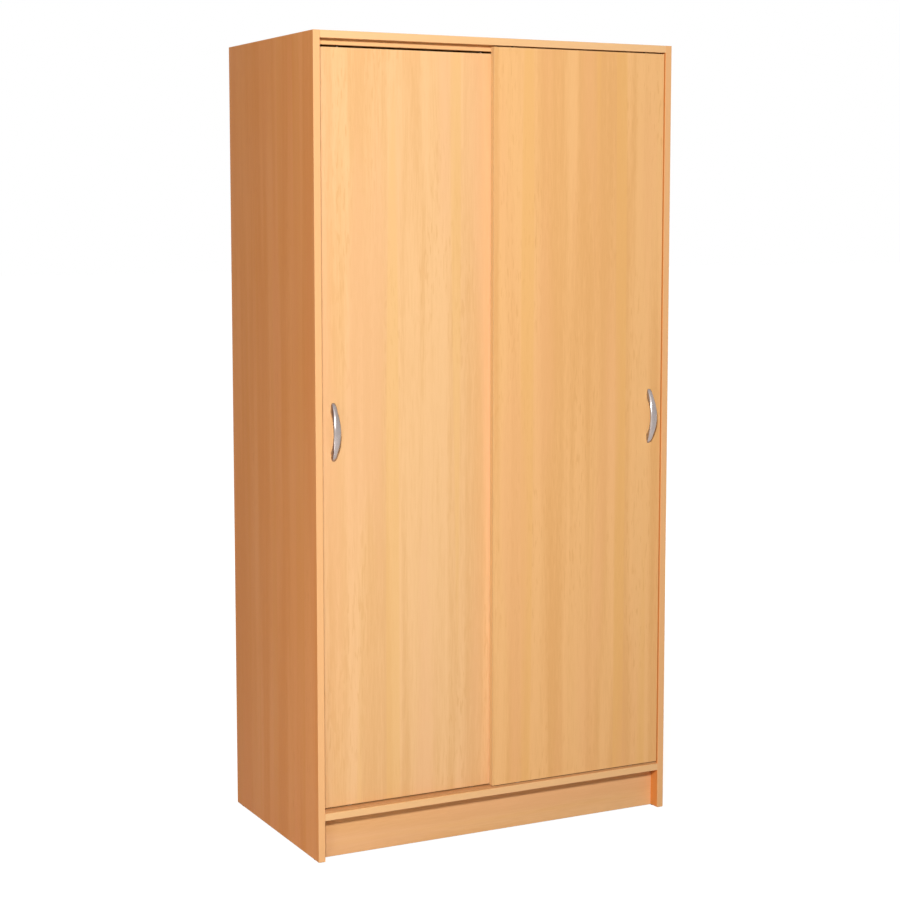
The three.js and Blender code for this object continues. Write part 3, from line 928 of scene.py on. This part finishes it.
@dataclass
class Back(Assembly):
    """The two hardboard halves, the strip that joins them and the nails that hold them."""

    head_radius: float = 0.0019
    head_height: float = 0.0005
    crown_share: float = 0.7
    brim_share: float = 0.4
    head_steps: int = 14
    edge_distance: float = 0.006
    side_share: float = 0.7
    end_share: float = 2.5
    joint_distance: float = 0.012
    spacing: float = 0.11

    def row(self, name: str, places: Iterable[Vector]) -> None:
        """Makes one row of nail heads.

        Args:
            name: The row's name.
            places: The middle of each head's underside.
        """
        radius, height = self.head_radius, self.head_height
        profile = [(0.0, height), (radius * self.crown_share, height), (radius, height * self.brim_share),
                   (radius, 0.0), (0.0, 0.0)]
        row = bmesh.new()
        for place in places:
            head = spun(profile, self.head_steps)
            settle(head, place, TO_REAR)
            part = bpy.data.meshes.new("nail")
            head.to_mesh(part)
            head.free()
            row.from_mesh(part)
            bpy.data.meshes.remove(part)
        self.add(row, name, Coat.ZINC)

    def build(self) -> None:
        """Dresses the boards and the strip and sets the nails round their edges."""
        for name, shift in (("left", 2.6), ("right", 5.9)):
            node = f"back_panel_{name}"
            dress(node, Hardboard(f"hardboard_{name}", node, (shift, 0.0, shift)).material())
        self.dress("back_joint_strip", Coat.WHITE)
        left, right = Room.of("back_panel_left"), Room.of("back_panel_right")
        rear = left.high.y
        span = left.height - 2 * self.edge_distance
        count = round(span / self.spacing)
        levels = [left.low.z + self.edge_distance + span * i / count for i in range(count + 1)]
        inset = self.edge_distance * self.side_share
        for name, x in (("left", left.low.x + inset), ("right", right.high.x - inset)):
            self.row(f"back_nails_{name}", [Vector((x, rear, level)) for level in levels])
        reach = right.high.x - self.edge_distance * self.end_share
        across = round(2 * reach / self.spacing)
        places = [-reach + 2 * reach * i / across for i in range(across + 1)]
        clear = [x for x in places if abs(x) > self.joint_distance]
        for name in ("top", "shelf", "base"):
            level = Room.of(f"{name}_panel").middle.z
            self.row(f"back_nails_{name}", [Vector((x, rear, level)) for x in clear])


@dataclass
class HangingRail(Assembly):
    """The oval tube under the shelf and the cup at each end of it."""

    wall: float = 0.0012
    oval_steps: int = 24
    plate: float = 0.003
    plate_height: float = 0.064
    plate_width: float = 0.024
    plate_round: float = 0.0007
    plate_steps: int = 20
    cup_wall: float = 0.0024
    clearance: float = 0.0003
    screw_spacing: float = 0.050
    screw_radius: float = 0.0036
    screw_height: float = 0.0012
    cross_share: float = 0.55
    cross_width: float = 0.0004
    cross_depth: float = 0.0009

    def oval(self, length: float, breadth: float, low: float, high: float, wall: float) -> BMesh:
        """Makes an open oval tube along X.

        Args:
            length: The long axis of the oval, which stands upright.
            breadth: Its short axis.
            low: Where the tube starts.
            high: Where it ends.
            wall: The thickness of its wall, inwards.

        Returns:
            The tube.
        """
        shape = slot_prism(length, breadth, low, high, self.oval_steps)
        caps = [face for face in shape.faces if abs(face.normal.z) > NEARLY_LEVEL]
        bmesh.ops.delete(shape, geom=caps, context="FACES_ONLY")
        bmesh.ops.solidify(shape, geom=shape.faces[:], thickness=wall)
        bmesh.ops.recalc_face_normals(shape, faces=shape.faces)
        bmesh.ops.transform(shape, matrix=TO_RIGHT, verts=shape.verts)
        return shape

    def socket(self, name: str, side: int, rail: Room) -> None:
        """Models one socket.

        Args:
            name: The end that it is at.
            side: -1 at the left end and 1 at the right.
            rail: The rail's box.
        """
        node = f"rail_socket_{name}"
        room, centre = Room.of(node), rail.middle
        seat, turn = (room.high.x, TO_LEFT) if side > 0 else (room.low.x, TO_RIGHT)
        plate = slot_prism(self.plate_height, self.plate_width, 0.0, self.plate, self.plate_steps)
        soften(plate, self.plate_round)
        settle(plate, Vector((seat, centre.y, centre.z)), turn)
        self.add(plate, f"socket_plate_{name}", Coat.ZINC, node=node)
        gap = 2 * self.clearance + 2 * self.cup_wall
        reach = room.width - self.plate
        cup = self.oval(rail.height + gap, rail.depth + gap, 0.0, reach, self.cup_wall)
        start = seat - side * self.plate
        settle(cup, Vector((start if side < 0 else start - reach, centre.y, centre.z)))
        self.add(cup, f"socket_cup_{name}", Coat.ZINC)
        cross = DriverCross(self.screw_radius * self.cross_share, self.cross_width, self.cross_depth)
        crown = seat - side * (self.plate + self.screw_height)
        for end, sign in (("lower", -1), ("upper", 1)):
            head = cross.disc(self.screw_radius, self.screw_height)
            settle(head, Vector((crown, centre.y, centre.z + sign * self.screw_spacing / 2)), turn)
            self.add(head, f"socket_screw_{end}_{name}", Coat.ZINC)

    def build(self) -> None:
        """Models the tube, and the plate, the cup and the screws of both sockets."""
        rail = Room.of("hanging_rail")
        tube = self.oval(rail.height, rail.depth, rail.low.x, rail.high.x, self.wall)
        settle(tube, Vector((0.0, rail.middle.y, rail.middle.z)))
        self.add(tube, "oval_rail", Coat.CHROME, node="hanging_rail")
        for name, side in (("left", -1), ("right", 1)):
            self.socket(name, side, rail)


@dataclass
class Fittings(Assembly):
    """The cam locks of the level panels and the glides under the sides."""

    cam_cross: DriverCross = DriverCross(reach=0.0045, width=0.0009, depth=0.002)
    sole_share: float = 0.72
    heel_share: float = 0.9
    heel_level_share: float = 0.25
    wall_level_share: float = 0.7
    glide_steps: int = 40

    def build(self) -> None:
        """Models twelve cams and four glides."""
        corners = [f"{edge}_{end}" for edge in ("front", "rear") for end in ("left", "right")]
        for panel in ("top", "shelf", "base"):
            for corner in corners:
                self.fit(f"{panel}_cam_{corner}", self.cam, Coat.ZINC, Stance.DOWN)
        for corner in corners:
            self.fit(f"floor_glide_{corner}", self.glide, Coat.BROWN)

    def cam(self, room: Room) -> BMesh:
        """Makes a cam lock of the size of a box, with its cross on top."""
        return self.cam_cross.disc(room.width / 2, room.height)

    def glide(self, room: Room) -> BMesh:
        """Makes a glide: a low round foot with a rounded heel.

        Args:
            room: The glide's box.

        Returns:
            The glide from its sole up.
        """
        radius, height = room.width / 2, room.height
        heel = (radius * self.heel_share, height * self.heel_level_share)
        wall = (radius, height * self.wall_level_share)
        profile = [(0.0, 0.0), (radius * self.sole_share, 0.0), heel, wall, (radius, height), (0.0, height)]
        return spun(profile, self.glide_steps)


@dataclass(frozen=True)
class BowHandle:
    """A bow handle: an arched strip, broad and thin in the middle and solid over its two feet."""

    length: float = 0.127
    projection: float = 0.026
    end_thickness: float = 0.0036
    middle_thickness: float = 0.0074
    middle_width: float = 0.0174
    end_width: float = 0.0104
    nose_length: float = 0.009
    nose_tip: float = 0.4
    gap_length: float = 0.088
    stand_off: float = 0.0003
    front_round: float = 0.95
    bridge_round: float = 0.90
    foot_round: float = 0.30
    stations: int = 72
    sides: int = 48

    def arc(self, place: float, chord: float, rise: float) -> float:
        """Gives the height of an arc over a place on its chord, from the chord's middle."""
        radius = (chord * chord / 4 + rise * rise) / (2 * rise)
        return math.sqrt(max(radius * radius - place * place, 0.0)) - radius + rise

    def nose(self, level: float) -> float:
        """Gives the share of its full size that the handle has at a level, for its rounded noses."""
        past = max(0.0, 1 - (self.length / 2 - abs(level)) / self.nose_length)
        return self.nose_tip + (1 - self.nose_tip) * math.sqrt(max(0.0, 1 - past * past))

    def lay(self, ring: Sequence[BMVert], level: float) -> None:
        """Shapes a round ring into the handle's section at a level.

        Args:
            ring: The points of a unit circle in the level plane.
            level: The level, from the handle's middle.
        """
        share = 1 - (2 * level / self.length) ** 2
        half = (self.end_width + (self.middle_width - self.end_width) * share) / 2 * self.nose(level)
        rise = self.end_thickness + self.arc(level, self.length, self.projection - self.end_thickness)
        finger_rise = self.projection - self.middle_thickness
        under = self.stand_off
        if abs(level) < self.gap_length / 2:
            under = max(under, self.arc(level, self.gap_length, finger_rise))
        crest = under + (rise - under) * self.nose(level)
        lift = (under - self.stand_off) / (finger_rise - self.stand_off)
        back_round = self.foot_round + (self.bridge_round - self.foot_round) * lift
        for vert in ring:
            power = self.front_round if vert.co.y < 0 else back_round
            vert.co.x = half * math.copysign(abs(vert.co.x) ** power, vert.co.x)
            out = (crest - under) / 2 * math.copysign(abs(vert.co.y) ** power, vert.co.y)
            vert.co.y = out - (crest + under) / 2
            vert.co.z = level

    def shape(self) -> BMesh:
        """Extrudes a ring from end to end and shapes each step of it.

        Returns:
            The handle, upright about the origin, with its back on y = 0.
        """
        shape = bmesh.new()
        ring = bmesh.ops.create_circle(shape, cap_ends=False, radius=1.0, segments=self.sides)["verts"]
        rings = [ring]
        edges = list({edge for vert in ring for edge in vert.link_edges})
        for _ in range(self.stations):
            step = bmesh.ops.extrude_edge_only(shape, edges=edges)["geom"]
            rings.append(only(BMVert, step))
            edges = only(BMEdge, step)
        for i, verts in enumerate(rings):
            self.lay(verts, -math.cos(math.pi * i / self.stations) * self.length / 2)
        bmesh.ops.holes_fill(shape, edges=[edge for edge in shape.edges if edge.is_boundary])
        bmesh.ops.recalc_face_normals(shape, faces=shape.faces)
        return shape


@dataclass(frozen=True)
class HandleScrew:
    """A pan-head screw, driven from behind: its heights count from the top of its head."""

    shank_share: float = 0.5
    crown_share: float = 0.82
    cross_reach_share: float = 0.5
    cross_width_share: float = 0.11
    cross_depth: float = 0.0010
    head_height: float = 0.0022
    brim: float = 0.0012
    lip: float = 0.0002
    steps: int = 32

    def head(self, radius: float) -> BMesh:
        """Makes the crossed disc in the head.

        Args:
            radius: The head's radius.

        Returns:
            The disc, facing +Z.
        """
        reach, width = radius * self.cross_reach_share, radius * self.cross_width_share
        cross = DriverCross(reach, width, self.cross_depth)
        return cross.disc(radius * self.crown_share, self.brim)

    def shank(self, radius: float, length: float) -> BMesh:
        """Makes the shank and the head round the disc.

        Args:
            radius: The head's radius.
            length: The length of the whole screw.

        Returns:
            The screw from its tip up.
        """
        thick, crown = radius * self.shank_share, radius * self.crown_share
        under, brim, lip = length - self.head_height, length - self.brim, length - self.lip
        return spun([(0.0, 0.0), (thick, 0.0), (thick, under), (radius, under), (radius, brim), (crown, lip),
                     (crown, brim), (0.0, brim)], self.steps)


@dataclass(frozen=True)
class Roller:
    """A roller: a wheel with a hub, a thin web and a crowned rim, on a steel axle."""

    bore: float = 0.0018
    hub: float = 0.0036
    web: float = 0.0012
    rim: float = 0.0022
    crown: float = 0.0011
    tread_share: float = 0.5
    rounding: float = 0.00025
    wheel_steps: int = 64
    end_share: float = 0.8
    chamfer: float = 0.0003
    axle_steps: int = 32

    def wheel(self, room: Room) -> BMesh:
        """Makes the wheel about +Z.

        Args:
            room: The wheel's box.

        Returns:
            The wheel.
        """
        radius, half = room.height / 2, room.depth / 2
        rim = radius - self.rim
        profile = [(self.bore, -half), (self.hub, -half), (self.hub, -self.web), (rim, -self.web),
                   (rim, -half), (radius - self.crown, -half), (radius, -half * self.tread_share)]
        shape = spun(mirrored(profile), self.wheel_steps, closed=True)
        soften(shape, self.rounding)
        return shape

    def axle(self, room: Room) -> BMesh:
        """Makes the axle about +Z.

        Args:
            room: The axle's box.

        Returns:
            The axle.
        """
        reach, thick = room.depth / 2, room.height / 2
        profile = [(0.0, -reach), (thick * self.end_share, -reach), (thick, -reach + self.chamfer)]
        return spun(mirrored(profile), self.axle_steps)


@dataclass(frozen=True)
class Guide:
    """A sprung guide pin with a rounded tip, and the flanged housing that it slides in."""

    collar_height: float = 0.002
    stem: float = 0.0025
    tip_shares: tuple[float, ...] = (1.0, 0.92, 0.7, 0.36)
    tip_drops: tuple[float, ...] = (0.0022, 0.0012, 0.0004, 0.0)
    pin_steps: int = 40
    barrel: float = 0.0047
    bore: float = 0.0038
    mouth: float = 0.0028
    flange_height: float = 0.0012
    chamfer: float = 0.0003
    ceiling: float = 0.0017
    floor: float = 0.003
    housing_steps: int = 48

    def pin(self, room: Room) -> BMesh:
        """Makes the pin from its foot up.

        Args:
            room: The pin's box.

        Returns:
            The pin.
        """
        collar, tall = room.width / 2, room.height
        tip = [(self.stem * share, tall - drop) for share, drop in zip(self.tip_shares, self.tip_drops)]
        return spun([(0.0, 0.0), (collar, 0.0), (collar, self.collar_height), (self.stem, self.collar_height),
                     *tip, (0.0, tall)], self.pin_steps)

    def housing(self, room: Room) -> BMesh:
        """Makes the housing from its foot up.

        Args:
            room: The housing's box.

        Returns:
            The housing.
        """
        flange, tall = room.width / 2, room.height
        under, ceiling = tall - self.flange_height, tall - self.ceiling
        return spun([(0.0, 0.0), (self.barrel, 0.0), (self.barrel, under), (flange, under),
                     (flange, tall - self.chamfer), (flange - self.chamfer, tall), (self.mouth, tall),
                     (self.mouth, ceiling), (self.bore, ceiling), (self.bore, self.floor), (0.0, self.floor)],
                    self.housing_steps)


@dataclass
class SlidingDoor(Assembly):
    """A door with its handle, its rollers and its guide pins."""

    name: str
    shift: Triple
    # The tint is painted light: a paler tint on the left door stands in for painted sheen, a warmer, darker
    # one on the right door for painted shade.
    tint: Colour
    # Painted shade: the doors' banding is darker than the carcass's, so their edges, and faintly their
    # arrises, look shaded.
    banding: Colour = (0.66, 0.45, 0.22, 1.0)
    handle: BowHandle = BowHandle()
    handle_screw: HandleScrew = HandleScrew()
    rolling: Roller = Roller()
    guiding: Guide = Guide()

    @property
    def body(self) -> str:
        """The body of the door."""
        return f"{self.name}_door"

    def build(self) -> None:
        """Dresses the panel and models all that is fixed to it."""
        node = f"{self.name}_door_panel"
        sides = (Side.LEFT, Side.RIGHT, Side.FOOT, Side.HEAD)
        foil = BeechFoil(f"beech_{self.name}_door", node, self.shift, banded=sides, tint=self.tint,
                         banding=self.banding)
        dress(node, foil.material())
        self.bow()
        for end in ("lower", "upper"):
            self.screw(f"{self.name}_handle_screw_{end}")
        for end in ("outer", "inner"):
            wheel, pin = f"{self.name}_wheel_{end}", f"{self.name}_pin_{end}"
            roller, guide = f"{self.name}_roller", f"{self.name}_guide"
            self.fit(f"{roller}_wheel_{end}", self.rolling.wheel, Coat.WHITE, Stance.LYING, wheel)
            self.fit(f"{roller}_axle_{end}", self.rolling.axle, Coat.ZINC, Stance.LYING, self.body)
            self.dress(f"{roller}_housing_{end}", Coat.WHITE)
            self.fit(f"{guide}_pin_{end}", self.guiding.pin, Coat.BROWN, Stance.UP, pin)
            self.fit(f"{guide}_housing_{end}", self.guiding.housing, Coat.BROWN, Stance.UP, self.body)

    def bow(self) -> None:
        """Models the handle on the door's face."""
        node = f"{self.name}_handle"
        centre, face = Room.of(node).middle, Room.of(f"{self.name}_door_panel").low.y
        shape = self.handle.shape()
        settle(shape, Vector((centre.x, face, centre.z)))
        self.add(shape, f"{node}_fine", Coat.NICKEL, self.body, node)

    def screw(self, node: str) -> None:
        """Models a handle screw: the crossed disc in its head, and its shank with the rest of the head.

        Args:
            node: The name of the screw's node.
        """
        room = Room.of(node)
        centre, radius = room.middle, room.width / 2
        head = self.handle_screw.head(radius)
        settle(head, Vector((centre.x, room.high.y, centre.z)), TO_REAR)
        self.add(head, f"{node}_fine", Coat.ZINC, self.body, node)
        shank = self.handle_screw.shank(radius, room.depth)
        settle(shank, Vector((centre.x, room.low.y, centre.z)), TO_REAR)
        self.add(shank, f"{node}_shank", Coat.ZINC, self.body)


@dataclass(frozen=True)
class Lamp:
    """A soft box."""

    name: str
    place: Triple
    aim: Triple
    size: float
    power: float

    def light(self) -> None:
        """Hangs the lamp and points it at its aim."""
        data = bpy.data.lights.new(self.name, "AREA")
        data.shape = "DISK"
        data.size = self.size
        data.energy = self.power
        lamp = bpy.data.objects.new(self.name, data)
        lamp.location = self.place
        lamp.rotation_euler = (Vector(self.aim) - Vector(self.place)).to_track_quat("-Z", "Y").to_euler()
        bpy.context.scene.collection.objects.link(lamp)
        log.info("%s: %.0f W", self.name, self.power)


@dataclass(frozen=True)
class Camera:
    """The camera, in the photograph's place and with its lens, in metres, degrees and millimetres."""

    place: Triple = (-2.0704, -4.0448, 1.4235)
    heading: float = 27.06
    level: float = 90.0
    pitch: float = -6.04
    lens: float = 77.296
    sensor: float = 36.0
    shift: float = -0.035
    sight: float = 100.0

    def stand(self) -> None:
        """Sets the camera up and gives it to the scene."""
        data = bpy.data.cameras.new("camera")
        data.lens = self.lens
        data.sensor_width = self.sensor
        data.shift_y = self.shift
        data.clip_end = self.sight
        camera = bpy.data.objects.new("camera", data)
        camera.location = self.place
        camera.rotation_euler = (math.radians(self.level + self.pitch), 0.0, math.radians(-self.heading))
        bpy.context.scene.collection.objects.link(camera)
        bpy.context.scene.camera = camera


@dataclass
class Studio:
    """The floor, the white surroundings and the lamps."""

    floor_reach: float = 40.0
    floor_glow: float = 0.86
    floor_near: float = 1.2
    floor_far: float = 6.0
    floor_roughness: float = 0.9
    floor_colour: Colour = (0.50, 0.50, 0.50, 1.0)
    fill_colour: Colour = (0.13, 0.085, 0.045, 1.0)
    lamps: tuple[Lamp, ...] = (
        Lamp("key", place=(-1.96, -3.50, 2.50), aim=(0.0, -0.2, 0.9), size=0.44, power=153.0),
        Lamp("side_fill", place=(-1.15, -0.85, 0.22), aim=(-0.45, -0.10, 0.20), size=0.4, power=1.4),
        Lamp("back_fill", place=(2.6, 3.4, 2.4), aim=(0.0, 0.2, 0.9), size=1.6, power=60.0),
    )

    def floor(self) -> None:
        """Lays a pale floor that keeps the wardrobe's shadow and fades into the white surroundings."""
        shape = bmesh.new()
        bmesh.ops.create_grid(shape, x_segments=1, y_segments=1, size=self.floor_reach)
        mesh = bpy.data.meshes.new("floor")
        shape.to_mesh(mesh)
        shape.free()
        floor = bpy.data.objects.new("floor", mesh)
        bpy.context.scene.collection.objects.link(floor)
        material = bpy.data.materials.new("pale_floor")
        material.use_nodes = True
        draw = Drawing(material.node_tree)
        shader = material.node_tree.nodes["Principled BSDF"]
        shader.inputs["Base Color"].default_value = self.floor_colour
        shader.inputs["Roughness"].default_value = self.floor_roughness
        shader.inputs["Specular IOR Level"].default_value = 0.0
        away = draw.node("ShaderNodeVectorMath", {"operation": "LENGTH"}, {0: draw.place()})["Value"]
        level = draw.ramp(away, self.floor_near, self.floor_far, self.floor_glow, 1.0)
        inputs = {"Color": WHITE, "Strength": draw.times(draw.seen(), level)}
        glow = draw.node("ShaderNodeEmission", {}, inputs)[0]
        both = draw.node("ShaderNodeAddShader", {}, {0: shader.outputs[0], 1: glow})[0]
        out = material.node_tree.nodes["Material Output"]
        draw.feed(out.inputs["Surface"], both)
        mesh.materials.append(material)

    def surroundings(self) -> None:
        """Makes the world white to the eye and in the metal, and a dim warm room to the boards."""
        world = bpy.data.worlds.new("studio")
        bpy.context.scene.world = world
        world.use_nodes = True
        draw = Drawing(world.node_tree)
        ground = world.node_tree.nodes["Background"]
        draw.feed(ground.inputs["Color"], draw.blend(draw.seen(), self.fill_colour, WHITE))
        ground.inputs["Strength"].default_value = 1.0

    def build(self) -> None:
        """Sets the floor, the world and the lamps."""
        self.floor()
        self.surroundings()
        for lamp in self.lamps:
            lamp.light()
        bpy.context.scene.view_settings.view_transform = "Standard"


def main() -> None:
    """Builds the camera, the wardrobe and the studio."""
    logging.basicConfig(level=logging.INFO, format="%(name)s: %(message)s")
    Camera().stand()
    palette = Palette.mixed()
    Carcass(palette).build()
    Back(palette).build()
    HangingRail(palette).build()
    Fittings(palette).build()
    # The door tints are painted light: painted sheen on the left door, painted shade on the right door.
    SlidingDoor(palette, "left", shift=(0.0, 0.0, 4.4), tint=(0.98, 1.0, 1.0, 1.0)).build()
    SlidingDoor(palette, "right", shift=(5.3, 0.0, 8.1), tint=(1.0, 0.95, 0.83, 1.0)).build()
    Studio().build()


if __name__ == "__main__":
    main()
